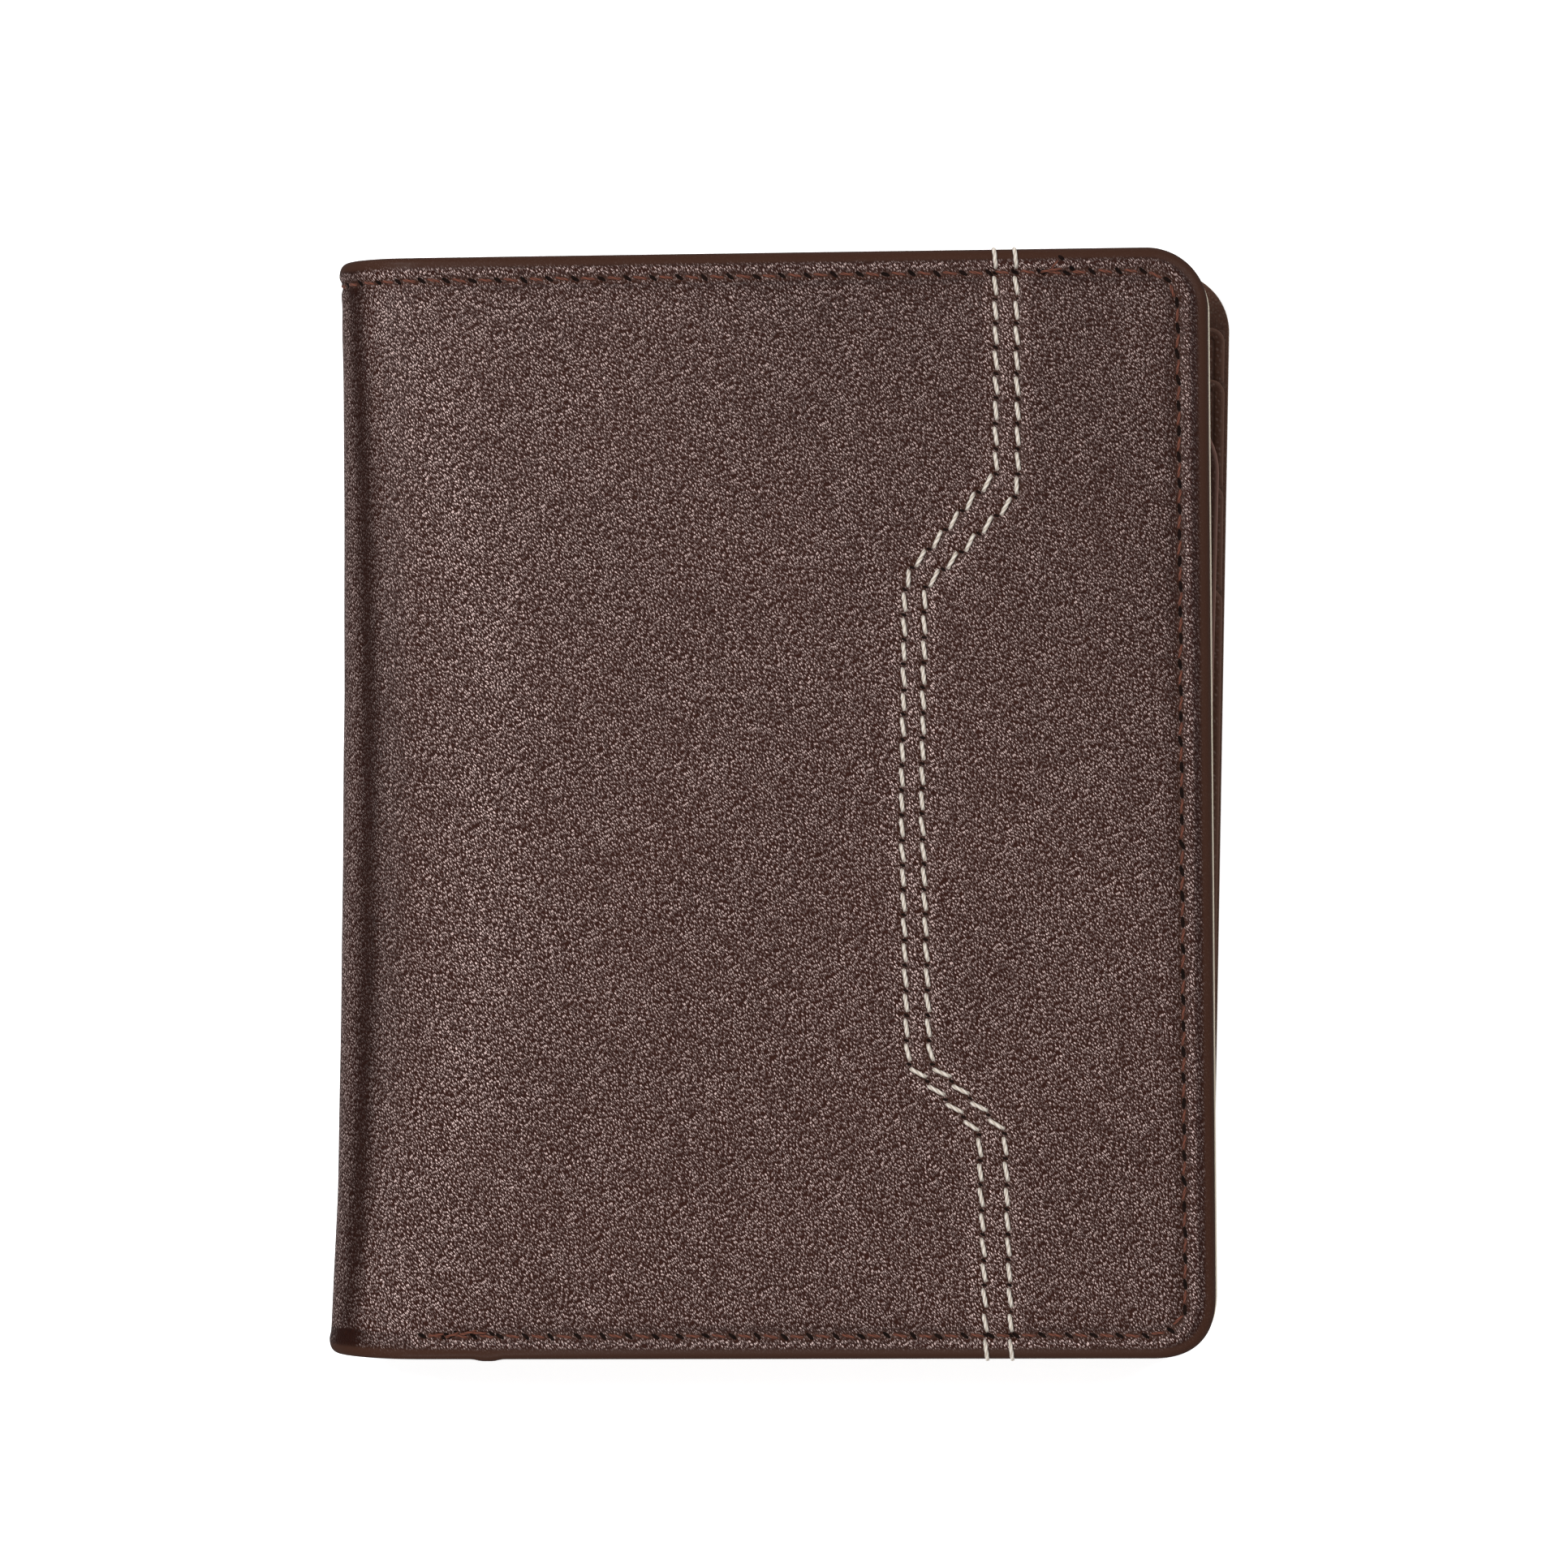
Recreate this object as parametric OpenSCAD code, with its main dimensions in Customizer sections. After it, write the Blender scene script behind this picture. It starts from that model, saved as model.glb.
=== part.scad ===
// Upright folding leather case for business cards, closed and lying on its back cover.
// +X points from the spine to the opening edge, +Y to the top edge and +Z up.
// The origin is the middle of the closed case's underside.

/* [Case] */
// Width of the closed case, from the spine to the opening edge
case_w = 100; // [100:1:110]
// Height of the covers
case_h = 125; // [120:1:140]
// Thickness of the closed case
case_t = 17; // [17:0.5:20]
// Radius of the covers' outer corners
corner_r = 7; // [6:0.5:9]
// How much shorter the front cover is than the back cover
front_short = 2.6; // [0:0.1:2.6]
// Turn of the front cover as it lies over the back cover
front_skew = 0.9; // [0:0.1:0.9]

/* [Cover layers] */
// Thickness of the cover leather
leather_t = 1; // [0.9:0.05:1]
// Thickness of the stiffening board
board_t = 0.5; // [0.3:0.1:0.5]
// Thickness of the padding, and of the leather turned in around it
padding_t = 0.7; // [0.5:0.1:0.7]
// Thickness of the lining
lining_t = 0.4; // [0.3:0.05:0.4]
// Width of the leather turned in around the board
margin_w = 9; // [6:1:12]
// How far the lining's raw edge stands out past the front cover
lining_proud = 0.2; // [0:0.05:0.3]

/* [Pockets] */
// Width of a card slot
slot_w = 86.2; // [85.8:0.1:86.2]
// Depth of a card slot
slot_depth = 44; // [40:1:48]
// Step from one pocket's edge to the next
slot_step = 12; // [9:1:14]
// Gap for the card in a slot
slot_gap = 0.5; // [0.4:0.1:0.5]
// Thickness of the pocket leather
pocket_t = 0.6; // [0.5:0.05:0.6]
// Depth of the full-height note compartment behind the pockets
note_gap = 0.8; // [0.5:0.1:0.8]
// Distance from the covers' top edge down to the note compartment's mouth
wall_drop = 6.5; // [4:0.5:8]

/* [Inner leaf] */
// Width of the leaf
leaf_w = 89.4; // [86:0.1:89.4]
// Height of the leaf
leaf_h = 104; // [96:1:106]
// Radius of the leaf's corners
leaf_r = 8.3; // [6:0.1:10]
// Turn of the leaf as it lies in the case
leaf_skew = -1.05; // [-1.05:0.05:0]
// Width of the clear window
window_w = 50; // [44:1:52]
// Height of the clear window
window_h = 80; // [70:1:82]

/* [Stitching] */
// Length from one stitch hole to the next
stitch_pitch = 2.9; // [2.6:0.1:3.4]
// Length of thread that shows between two holes
stitch_len = 2.1; // [1.8:0.1:2.2]
// Thickness of the thread
thread_d = 0.4; // [0.3:0.05:0.4]
// Distance of the edge stitching from the covers' edges
stitch_inset = 2.7; // [2.4:0.1:3.2]

/* [Hidden] */
$fn = 48;
BACK = 0;
FRONT = 1;
levels = [0, 1, 2];

// Fold: the spine is a half tube around this axis, which runs along Y
bend_r = case_t / 2;
bend_x = bend_r - case_w / 2;
fold_end = 45;
fold_gap = 2;
fold_lap = 3;
fold_step = 0.03;
core_past = 0.6;
right_edge = [case_w / 2, case_w / 2 - front_short];
skew = [0, front_skew];

// Heights of the cover layers above the outside face
board_z = leather_t;
padding_z = board_z + board_t;
lining_z = padding_z + padding_t;
cover_z = lining_z + lining_t;
rim_t = 0.9;

// Pockets
wall_t = 0.5;
wall_z = cover_z + note_gap;
slot_z = wall_z + wall_t;
level_t = slot_gap + pocket_t;
inner_inset = 0.6;
inner_x = bend_x - 1.9;
inner_y = inner_inset - case_h / 2;
slot_arm = 2.2;
slot_x = [for (edge = right_edge) edge - inner_inset - slot_arm - slot_w];
wall_top = case_h / 2 - wall_drop;
first_slot_top = wall_top - 6;
notch_w = 9.2;
notch_h = 7;
butt_gap = 0.1;

// Leaf: three layers, level with the fold's axis
leaf_layer = 0.5;
leaf_z = bend_r - 1.5 * leaf_layer;
leaf_x = bend_x + 0.5;
leaf_y = -56;
leaf_pocket_w = window_w + 6;
leaf_pocket_x = leaf_x + (leaf_w - leaf_pocket_w) / 2;
leaf_pocket_y = leaf_y + 10;
window_t = 0.2;
window_lap = 3;
tab_t = 0.25;
tab_w = 4.4;
tab_y = -52;
tab_len = 76;

// Stitching
groove_w = 0.9;
fold_groove_w = 1;
bend_hole_d = 1;
groove_d = 0.5;
groove_lap = 0.3;
leaf_groove_d = 0.3;
leaf_thread_d = 0.26;
leaf_stitch_inset = 2.5;
edge_stitch_len = 1.9;

// Contrast rows on the front cover: each point is the distance from its opening edge,
// then the distance down from its top edge
outer_row = [
    [21.5, stitch_inset], [21.4, 27.6], [32, 38], [32.5, 63],
    [31.9, case_h - 33.6], [23.5, case_h - 25.7], [23, case_h - stitch_inset]
];
inner_row = [
    [23.8, stitch_inset], [23.9, 25.2], [34.2, 36.6], [34.8, 63],
    [34.4, case_h - 33.5], [26.4, case_h - 25.8], [25.8, case_h - stitch_inset]
];

brown = [0.25, 0.16, 0.13];
inner_brown = [0.3, 0.19, 0.15];
lining_brown = [0.36, 0.25, 0.19];
board_grey = [0.62, 0.57, 0.5];
padding_white = [0.86, 0.84, 0.8];
brown_thread = [0.4, 0.2, 0.13];
cream_thread = [0.9, 0.87, 0.78];
clear = [0.85, 0.9, 0.92, 0.4];

// Places a half that is drawn outside face down at z = 0: the front one is turned over
module half(side) {
    if (side == FRONT)
        translate([0, 0, case_t])
            mirror([0, 0, 1])
                children();
    else
        children();
}

// Turns a flat piece of a half by that half's skew, about the middle of its panel
module skewed(side) {
    mid_x = (bend_x + right_edge[side]) / 2;
    translate([mid_x, 0, 0])
        rotate([0, 0, skew[side]])
            translate([-mid_x, 0, 0])
                children();
}

// Rectangle whose two corners on the +X side are round
module round_ended(x0, x1, y0, y1, r) {
    translate([x0, y0])
        square([x1 - x0 - r, y1 - y0]);
    translate([x0, y0 + r])
        square([x1 - x0, y1 - y0 - 2 * r]);
    for (y = [y0 + r, y1 - r])
        translate([x1 - r, y])
            circle(r);
}

// Flat layer of a cover from the fold to its free edges, drawn in by inset on three sides,
// that starts the distance past away from the fold
module panel(side, z0, z1, inset = 0, past = 0) {
    reach = case_h / 2 - inset;
    intersection() {
        skewed(side)
            translate([0, 0, z0])
                linear_extrude(z1 - z0)
                    round_ended(bend_x - corner_r, right_edge[side] - inset, -reach, reach,
                                max(corner_r - inset, 1));
        translate([bend_x + past, -case_h, -1])
            cube([case_w, 2 * case_h, case_t]);
    }
}

// Ring sector around the fold's axis between two depths below the outside face.
// Angle 0 is at the underside, 90 at the spine's middle and 180 at the top.
module ring_sector(depth0, depth1, from, to, y0 = -case_h / 2, y1 = case_h / 2) {
    translate([bend_x, 0, bend_r])
        rotate([90, 0, 0])
            rotate([0, 0, 270 - to])
                rotate_extrude(angle = to - from)
                    translate([bend_r - depth1, -y1])
                        square([depth1 - depth0, y1 - y0]);
}

// A half's share of the fold: a hair thinner than the flat layer that it runs into
module fold_band(depth0, depth1) {
    reach = case_h / 2 - fold_step;
    ring_sector(depth0 + fold_step, depth1 - fold_step, -fold_lap, fold_end, -reach, reach);
}

// Groove that the edge stitching lies in around a fold, which it crosses at the top only
module fold_grooves(from, to) {
    y = case_h / 2 - stitch_inset;
    half_w = fold_groove_w / 2;
    ring_sector(-1, groove_d, from, to, y - half_w, y + half_w);
}

// Thread of one stitch along +X, lying on the floor of a groove below z = 0
module stitch(len = stitch_len, d = thread_d, depth = groove_d) {
    translate([-len / 2, 0, depth - d / 2])
        rotate([0, 90, 0])
            cylinder(d = d, h = len, $fn = 16);
}

// Stitches around a fold, count of them between two angles at the top
module fold_stitches(from, to, count) {
    cell = (to - from) / count;
    for (i = [0 : count - 1])
        translate([bend_x, case_h / 2 - stitch_inset, bend_r])
            rotate([0, from + (i + 0.5) * cell, 0])
                translate([0, 0, -bend_r])
                    stitch();
}

// Whole number of stitches between two points, each in the middle of its cell
module stitch_line(a, b, d = thread_d, depth = groove_d) {
    len = norm(b - a);
    count = max(round(len / stitch_pitch), 1);
    heading = atan2(b[1] - a[1], b[0] - a[0]);
    for (i = [0 : count - 1])
        translate(a + (b - a) * (i + 0.5) / count)
            rotate([0, 0, heading])
                stitch(min(stitch_len, len / count * 0.74), d, depth);
}

// Stitches around a quarter circle that starts at an angle
module stitch_arc(centre, r, start, d = thread_d, depth = groove_d) {
    count = round(r * PI / 2 / stitch_pitch);
    for (i = [0 : count - 1])
        translate(centre)
            rotate([0, 0, start + (i + 0.5) * 90 / count])
                translate([r, 0, 0])
                    rotate([0, 0, 90])
                        stitch(stitch_len, d, depth);
}

// Groove between two points
module groove_line(a, b, depth = groove_d) {
    heading = atan2(b[1] - a[1], b[0] - a[0]);
    translate([a[0], a[1], -1])
        rotate([0, 0, heading])
            translate([0, -groove_w / 2, 0])
                cube([norm(b - a), groove_w, depth + 1]);
}

// Groove around a quarter circle that starts at an angle
module groove_arc(centre, r, start, depth = groove_d) {
    translate([centre[0], centre[1], -1])
        rotate([0, 0, start])
            rotate_extrude(angle = 90)
                translate([r - groove_w / 2, 0])
                    square([groove_w, depth + 1]);
}

// Stitches, or their groove, along the three free sides of a sheet whose corners have radius r
module three_sides(x0, x1, y0, y1, r, grooved, d = thread_d, depth = groove_d) {
    top = [x1 - r, y1];
    bottom = [x1 - r, y0];
    if (grooved) {
        groove_line([x0, y1], top, depth);
        groove_line([x1, y1 - r], [x1, y0 + r], depth);
        groove_line([x0, y0], bottom, depth);
        groove_arc([x1 - r, y1 - r], r, 0, depth);
        groove_arc([x1 - r, y0 + r], r, 270, depth);
    } else {
        stitch_line([x0, y1], top, d, depth);
        stitch_line([x1, y1 - r], [x1, y0 + r], d, depth);
        stitch_line([x0, y0], bottom, d, depth);
        stitch_arc([x1 - r, y1 - r], r, 0, d, depth);
        stitch_arc([x1 - r, y0 + r], r, 270, d, depth);
    }
}

// Edge stitching of a cover's flat part, or its groove
module cover_edge_line(side, grooved) {
    reach = case_h / 2 - stitch_inset;
    skewed(side)
        three_sides(bend_x + (grooved ? -groove_lap : 1), right_edge[side] - stitch_inset,
                    -reach, reach, corner_r - stitch_inset, grooved);
}

// A contrast row's point in the front panel's own plane
function row_point(p) = [right_edge[FRONT] - p[0], case_h / 2 - p[1]];

// Contrast row, or its groove, with a last short stitch that runs out to each edge
module contrast_row(row, grooved) {
    last = len(row) - 1;
    ends = [row_point([row[0][0], 0]), row_point([row[last][0], case_h])];
    skewed(FRONT) {
        if (grooved) {
            for (i = [0 : last - 1])
                groove_line(row_point(row[i]), row_point(row[i + 1]));
            for (i = [0, 1])
                groove_line(ends[i], row_point(row[i * last]));
            for (p = row)
                translate([row_point(p)[0], row_point(p)[1], -1])
                    cylinder(d = bend_hole_d, h = groove_d + 1);
        } else {
            for (i = [0 : last - 1])
                stitch_line(row_point(row[i]), row_point(row[i + 1]));
            for (i = [0, 1])
                translate((ends[i] + row_point(row[i * last])) / 2)
                    rotate([0, 0, 90])
                        stitch(edge_stitch_len);
        }
    }
}

// Cover leather of one half: outside face, rim, margin turned in, and its part of the fold
module cover(side) {
    color(brown)
        half(side)
            difference() {
                union() {
                    panel(side, 0, leather_t);
                    difference() {
                        panel(side, leather_t, padding_z);
                        panel(side, 0, lining_z, rim_t);
                    }
                    difference() {
                        panel(side, padding_z, lining_z);
                        panel(side, 0, cover_z, margin_w);
                    }
                    fold_band(0, lining_z);
                }
                cover_edge_line(side, true);
                fold_grooves(-fold_lap / 2, fold_end + fold_lap);
                if (side == FRONT) {
                    contrast_row(outer_row, true);
                    contrast_row(inner_row, true);
                }
            }
}

// Stiffening board of one half, held inside the rim
module board(side) {
    color(board_grey)
        half(side)
            panel(side, board_z, padding_z, rim_t, core_past);
}

// Padding of one half, level with the leather turned in around it
module padding(side) {
    color(padding_white)
        half(side)
            panel(side, padding_z, lining_z, margin_w, core_past);
}

// Lining of one half, with its part of the fold
module lining(side) {
    color(lining_brown)
        half(side) {
            panel(side, lining_z, cover_z, side == FRONT ? -lining_proud : 0);
            fold_band(lining_z, cover_z);
        }
}

// Edge stitching of one half
module edge_stitch(side) {
    color(brown_thread)
        half(side) {
            cover_edge_line(side, false);
            fold_stitches(0, fold_end, 2);
        }
}

// Contrast row as thread
module contrast_stitch(row) {
    color(cream_thread)
        half(FRONT)
            contrast_row(row, false);
}

// Outline of the inner layers up to a height, with the notch at the foot of the fold
module inner_outline(side, top) {
    difference() {
        intersection() {
            round_ended(inner_x, right_edge[side] - inner_inset, inner_y, case_h,
                        corner_r - inner_inset);
            translate([inner_x, inner_y])
                square([case_w, top - inner_y]);
        }
        translate([inner_x, inner_y])
            square([notch_w, notch_h]);
    }
}

// Flat layer inside one half
module inner_sheet(side, z0, thick, top) {
    half(side)
        skewed(side)
            translate([0, 0, z0])
                linear_extrude(thick)
                    inner_outline(side, top);
}

// Strips that space two inner layers apart: at the opening edge, along the foot up to floor_y,
// and, for a card slot, beside the fold
module spacer(side, z0, thick, top, floor_y, fold_strip) {
    x0 = slot_x[side];
    x1 = x0 + slot_w;
    foot = [x1 - (fold_strip ? x0 : inner_x) - 2 * butt_gap, floor_y - inner_y];
    half(side)
        skewed(side)
            translate([0, 0, z0])
                linear_extrude(thick)
                    intersection() {
                        inner_outline(side, top);
                        union() {
                            translate([x1, inner_y])
                                square([case_w, case_h]);
                            translate([(fold_strip ? x0 : inner_x) + butt_gap, inner_y])
                                square(foot);
                            if (fold_strip)
                                translate([inner_x, inner_y])
                                    square([x0 - inner_x, case_h]);
                        }
                    }
}

// Spacer of the note compartment, open at the top and beside the fold
module wall_spacer(side) {
    color(inner_brown)
        spacer(side, cover_z, note_gap, wall_top, inner_y + 3, false);
}

// Wall that the card pockets are sewn to, which also closes the note compartment
module pocket_wall(side) {
    color(inner_brown)
        inner_sheet(side, wall_z, wall_t, wall_top);
}

// Mouth height of the card slot on a level
function slot_top(level) = first_slot_top - level * slot_step;

// Spacer around the card slot on a level
module slot_spacer(side, level) {
    color(lining_brown)
        spacer(side, slot_z + level * level_t, slot_gap, slot_top(level),
               slot_top(level) - slot_depth, true);
}

// Pocket leather over the card slot on a level
module pocket(side, level) {
    color(inner_brown)
        inner_sheet(side, slot_z + level * level_t + slot_gap, pocket_t, slot_top(level));
}

// Tab that joins the leaf to the back half beside the fold
module leaf_hinge_tab() {
    color(brown)
        translate([inner_x, tab_y, slot_z + len(levels) * level_t])
            cube([tab_w, tab_len, tab_t]);
}

// Cover leather over the spine, between the two fold bands
module spine_layer(depth0, depth1) {
    ring_sector(depth0, depth1, fold_end + fold_gap, 180 - fold_end - fold_gap);
}

module spine_cover() {
    color(brown)
        difference() {
            spine_layer(0, leather_t);
            fold_grooves(fold_end, 180 - fold_end);
        }
}

module spine_board() {
    color(board_grey)
        spine_layer(board_z, padding_z);
}

module spine_padding() {
    color(padding_white)
        spine_layer(padding_z, lining_z);
}

module spine_lining() {
    color(lining_brown)
        spine_layer(lining_z, cover_z);
}

module spine_edge_stitch() {
    color(brown_thread)
        fold_stitches(fold_end + fold_gap, 180 - fold_end - fold_gap, 4);
}

// Places a piece of the leaf, turned about the middle of its hinged edge
module on_leaf() {
    mid_y = leaf_y + leaf_h / 2;
    translate([leaf_x, mid_y, leaf_z])
        rotate([0, 0, leaf_skew])
            translate([-leaf_x, -mid_y, 0])
                children();
}

// Outline of the leaf
module leaf_outline() {
    round_ended(leaf_x, leaf_x + leaf_w, leaf_y, leaf_y + leaf_h, leaf_r);
}

// Edge stitching of the leaf's lower face, or its groove
module leaf_edge_line(grooved) {
    three_sides(leaf_x + leaf_stitch_inset, leaf_x + leaf_w - leaf_stitch_inset,
                leaf_y + leaf_stitch_inset, leaf_y + leaf_h - leaf_stitch_inset,
                leaf_r - leaf_stitch_inset, grooved, leaf_thread_d, leaf_groove_d);
}

// Turns the leaf over, top face down
module leaf_turned() {
    translate([0, 0, 3 * leaf_layer])
        mirror([0, 0, 1])
            children();
}

// Leather on the side of the leaf that faces the front cover
module leaf_front_leather() {
    color(inner_brown)
        on_leaf()
            difference() {
                translate([0, 0, 2 * leaf_layer])
                    linear_extrude(leaf_layer)
                        leaf_outline();
                leaf_turned()
                    leaf_edge_line(true);
            }
}

// Strips beside and below the leaf's card pocket
module leaf_spacer() {
    x1 = leaf_pocket_x + leaf_pocket_w;
    color(lining_brown)
        on_leaf()
            translate([0, 0, leaf_layer])
                linear_extrude(leaf_layer)
                    intersection() {
                        leaf_outline();
                        union() {
                            translate([leaf_x, leaf_y])
                                square([leaf_pocket_x - leaf_x, leaf_h]);
                            translate([x1, leaf_y])
                                square([leaf_w, leaf_h]);
                            translate([leaf_pocket_x + butt_gap, leaf_y])
                                square([leaf_pocket_w - 2 * butt_gap, leaf_pocket_y - leaf_y]);
                        }
                    }
}

// Leather on the side of the leaf that faces the back cover, with the window cut out
module leaf_rear_leather() {
    color(inner_brown)
        on_leaf()
            difference() {
                linear_extrude(leaf_layer)
                    leaf_outline();
                translate([leaf_pocket_x + window_lap, leaf_pocket_y + window_lap, -1])
                    cube([window_w, window_h, leaf_layer + 2]);
                leaf_edge_line(true);
            }
}

// Clear window behind the opening in the rear leather
module leaf_window() {
    color(clear)
        on_leaf()
            translate([leaf_pocket_x + butt_gap, leaf_pocket_y, leaf_layer])
                cube([leaf_pocket_w - 2 * butt_gap, window_h + 2 * window_lap, window_t]);
}

// Stitching around the leaf, on both faces
module leaf_stitch() {
    color(brown_thread)
        on_leaf() {
            leaf_edge_line(false);
            leaf_turned()
                leaf_edge_line(false);
        }
}

cover(BACK);  // back_cover
board(BACK);  // back_board
padding(BACK);  // back_padding
lining(BACK);  // back_lining
edge_stitch(BACK);  // back_edge_stitch
wall_spacer(BACK);  // back_wall_spacer
pocket_wall(BACK);  // back_pocket_wall
slot_spacer(BACK, levels[0]);  // back_slot_spacer_1
slot_spacer(BACK, levels[1]);  // back_slot_spacer_2
slot_spacer(BACK, levels[2]);  // back_slot_spacer_3
pocket(BACK, levels[0]);  // back_pocket_1
pocket(BACK, levels[1]);  // back_pocket_2
pocket(BACK, levels[2]);  // back_pocket_3
leaf_hinge_tab();
spine_cover();
spine_board();
spine_padding();
spine_lining();
spine_edge_stitch();
cover(FRONT);  // front_cover
board(FRONT);  // front_board
padding(FRONT);  // front_padding
lining(FRONT);  // front_lining
edge_stitch(FRONT);  // front_edge_stitch
contrast_stitch(outer_row);  // contrast_stitch_outer
contrast_stitch(inner_row);  // contrast_stitch_inner
wall_spacer(FRONT);  // front_wall_spacer
pocket_wall(FRONT);  // front_pocket_wall
slot_spacer(FRONT, levels[0]);  // front_slot_spacer_1
slot_spacer(FRONT, levels[1]);  // front_slot_spacer_2
slot_spacer(FRONT, levels[2]);  // front_slot_spacer_3
pocket(FRONT, levels[0]);  // front_pocket_1
pocket(FRONT, levels[1]);  // front_pocket_2
pocket(FRONT, levels[2]);  // front_pocket_3
leaf_front_leather();
leaf_spacer();
leaf_rear_leather();
leaf_window();
leaf_stitch();
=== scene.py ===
"""The look of an upright folding leather card case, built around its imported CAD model."""

import math

import bmesh
import bpy
import numpy as np
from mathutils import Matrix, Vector


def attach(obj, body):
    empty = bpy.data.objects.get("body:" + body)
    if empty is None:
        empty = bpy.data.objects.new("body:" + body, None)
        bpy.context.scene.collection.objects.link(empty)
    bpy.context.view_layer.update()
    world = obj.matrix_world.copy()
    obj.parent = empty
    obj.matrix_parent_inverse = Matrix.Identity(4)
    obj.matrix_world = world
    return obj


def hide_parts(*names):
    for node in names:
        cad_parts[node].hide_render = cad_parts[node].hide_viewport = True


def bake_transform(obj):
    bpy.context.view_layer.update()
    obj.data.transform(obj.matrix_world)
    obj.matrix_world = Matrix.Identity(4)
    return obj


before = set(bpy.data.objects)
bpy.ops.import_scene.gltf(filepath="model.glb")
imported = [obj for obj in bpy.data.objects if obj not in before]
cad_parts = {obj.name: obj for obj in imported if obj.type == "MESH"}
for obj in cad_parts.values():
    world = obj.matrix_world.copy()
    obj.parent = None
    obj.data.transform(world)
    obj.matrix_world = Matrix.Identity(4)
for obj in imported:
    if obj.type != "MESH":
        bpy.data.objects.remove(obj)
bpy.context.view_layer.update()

MM = 0.001
BACK, FRONT = 0, 1
SIDE_NAME = {BACK: "back", FRONT: "front"}

# Sizes of the case in millimetres, as in the CAD part
CASE_T = 17.0
HALF_H = 62.5
BEND_R = CASE_T / 2
BEND_X = BEND_R - 50.0
RIGHT = (50.25, 48.1)
PANEL_W = (RIGHT[0] - BEND_X, RIGHT[1] - BEND_X)
CORNER_R = 7.0
HALF_SPINE = BEND_R * math.pi / 2
LINING_D = 2.2
COVER_D = 2.6
WALL_D = 3.4
SLOT_D = 3.9
LEVEL_T = 1.1
SLOT_GAP = 0.5
INNER_A = -1.9
INNER_Y = -61.9
INNER_INSET = 0.6
WALL_TOP = 56.0
SLOT_W = 86.2
SLOT_ARM = 2.2
SLOT_DEPTH = 44.0
SLOT_TOPS = (50.0, 38.0, 26.0)
LEAF_X, LEAF_Y, LEAF_W, LEAF_H, LEAF_R = -41.0, -56.0, 89.4, 104.0, 8.3
LEAF_D, LEAF_LAYER = 7.75, 0.5
LEAF_SKEW = math.radians(-1.05)

# Shape of the soft case
FRONT_SKEW = math.sin(math.radians(0.9))
BACK_SKEW = math.sin(math.radians(0.55))
FOLD_SHORT = 0.0095
SPINE_DROP = 0.72
BEAD = 1.1
SAG = 0.75
SEAM_DENT = 0.24
ROW_DENT = 0.15
CORNER_FULL = 0.055
FOOT_BUMP_A, FOOT_BUMP_W, FOOT_BUMP_H = 7.7, 1.3, 0.22
SEAM = 2.7
SIDE_SEAM = 3.45
SEAM_TURN = 3.6
SEAM_PITCH = 2.9
ROW_PITCH = 2.81

# Thread: plies, and how far they turn in a millimetre
THREAD_R = 0.21
PLIES = 3
TWIST = 7.2

# Foot of the inner layers, cut away beside the fold
NOTCH_W, NOTCH_H = 9.2, 7.0

# Leaf's window, its pocket and its hinge
WINDOW_W, WINDOW_H = 50.0, 80.0
WINDOW_FRAME = 3.0
WINDOW_UP = 10.0
LEAF_SEAM = 2.5
HINGE_X, HINGE_Z, HINGE_R = -42.0, 7.9, 0.62
HINGE_T = 0.26
HINGE_Y = (-52, 24)

rng = np.random.default_rng(7)


def smooth(t):
    t = np.clip(t, 0, 1)
    return t * t * (3 - 2 * t)


# ---------------------------------------------------------------- shape of a half


def upright(side, a, y):
    """Height shrink and skew of a half: the case is a little shorter at its fold."""
    near = 1 - np.clip(a / PANEL_W[BACK], 0, 1)
    hold = smooth(1 + a / HALF_SPINE)
    y2 = y * (1 - FOLD_SHORT * near) - SPINE_DROP * (1 - hold)
    if side == FRONT:
        drop = (np.clip(a, 0, None) - PANEL_W[FRONT] / 2) * FRONT_SKEW
        return a - y * FRONT_SKEW * hold, y2 + np.where(a < 0, drop * hold, drop)
    return a + y * BACK_SKEW * hold, y2 - np.clip(a, 0, None) * BACK_SKEW


def place(side, a, y, d):
    """Points in metres for a, the distance from the fold along the outside, y and the depth d."""
    a, y, d = np.broadcast_arrays(*(np.asarray(v, float) for v in (a, y, d)))
    a, y2 = upright(side, a, y)
    phi = np.clip(-a, 0, None) / BEND_R
    rise = np.abs(y) / HALF_H
    flare = (0.2 + np.where(y > 0, 0.85, 1.0) * rise**3.2) * np.sin(phi) ** 2
    x = BEND_X + np.clip(a, 0, None) - (BEND_R - d) * np.sin(phi) - flare
    z = BEND_R - (BEND_R - d) * np.cos(phi)
    if side == FRONT:
        z = CASE_T - z
    return np.stack([x, y2, z], -1) * MM


def flat(side):
    """Mapping for the inner layers of a half, which stay flat past the fold's start."""

    def to_world(a, y, d):
        a2, y2 = upright(side, np.clip(a, 0, None), y)
        x = BEND_X + a2 + np.clip(a, None, 0)
        z = CASE_T - d if side == FRONT else d
        return np.stack(np.broadcast_arrays(x, y2, z), -1) * MM

    return to_world


def on_leaf(u, v, d):
    """Mapping for the leaf, which lies turned a little about its hinged edge."""
    mid = LEAF_Y + LEAF_H / 2
    c, s = math.cos(LEAF_SKEW), math.sin(LEAF_SKEW)
    du, dv = u - LEAF_X, v - mid
    xyz = (LEAF_X + c * du - s * dv, mid + s * du + c * dv, LEAF_D + d)
    return np.stack(np.broadcast_arrays(*xyz), -1) * MM


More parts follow.
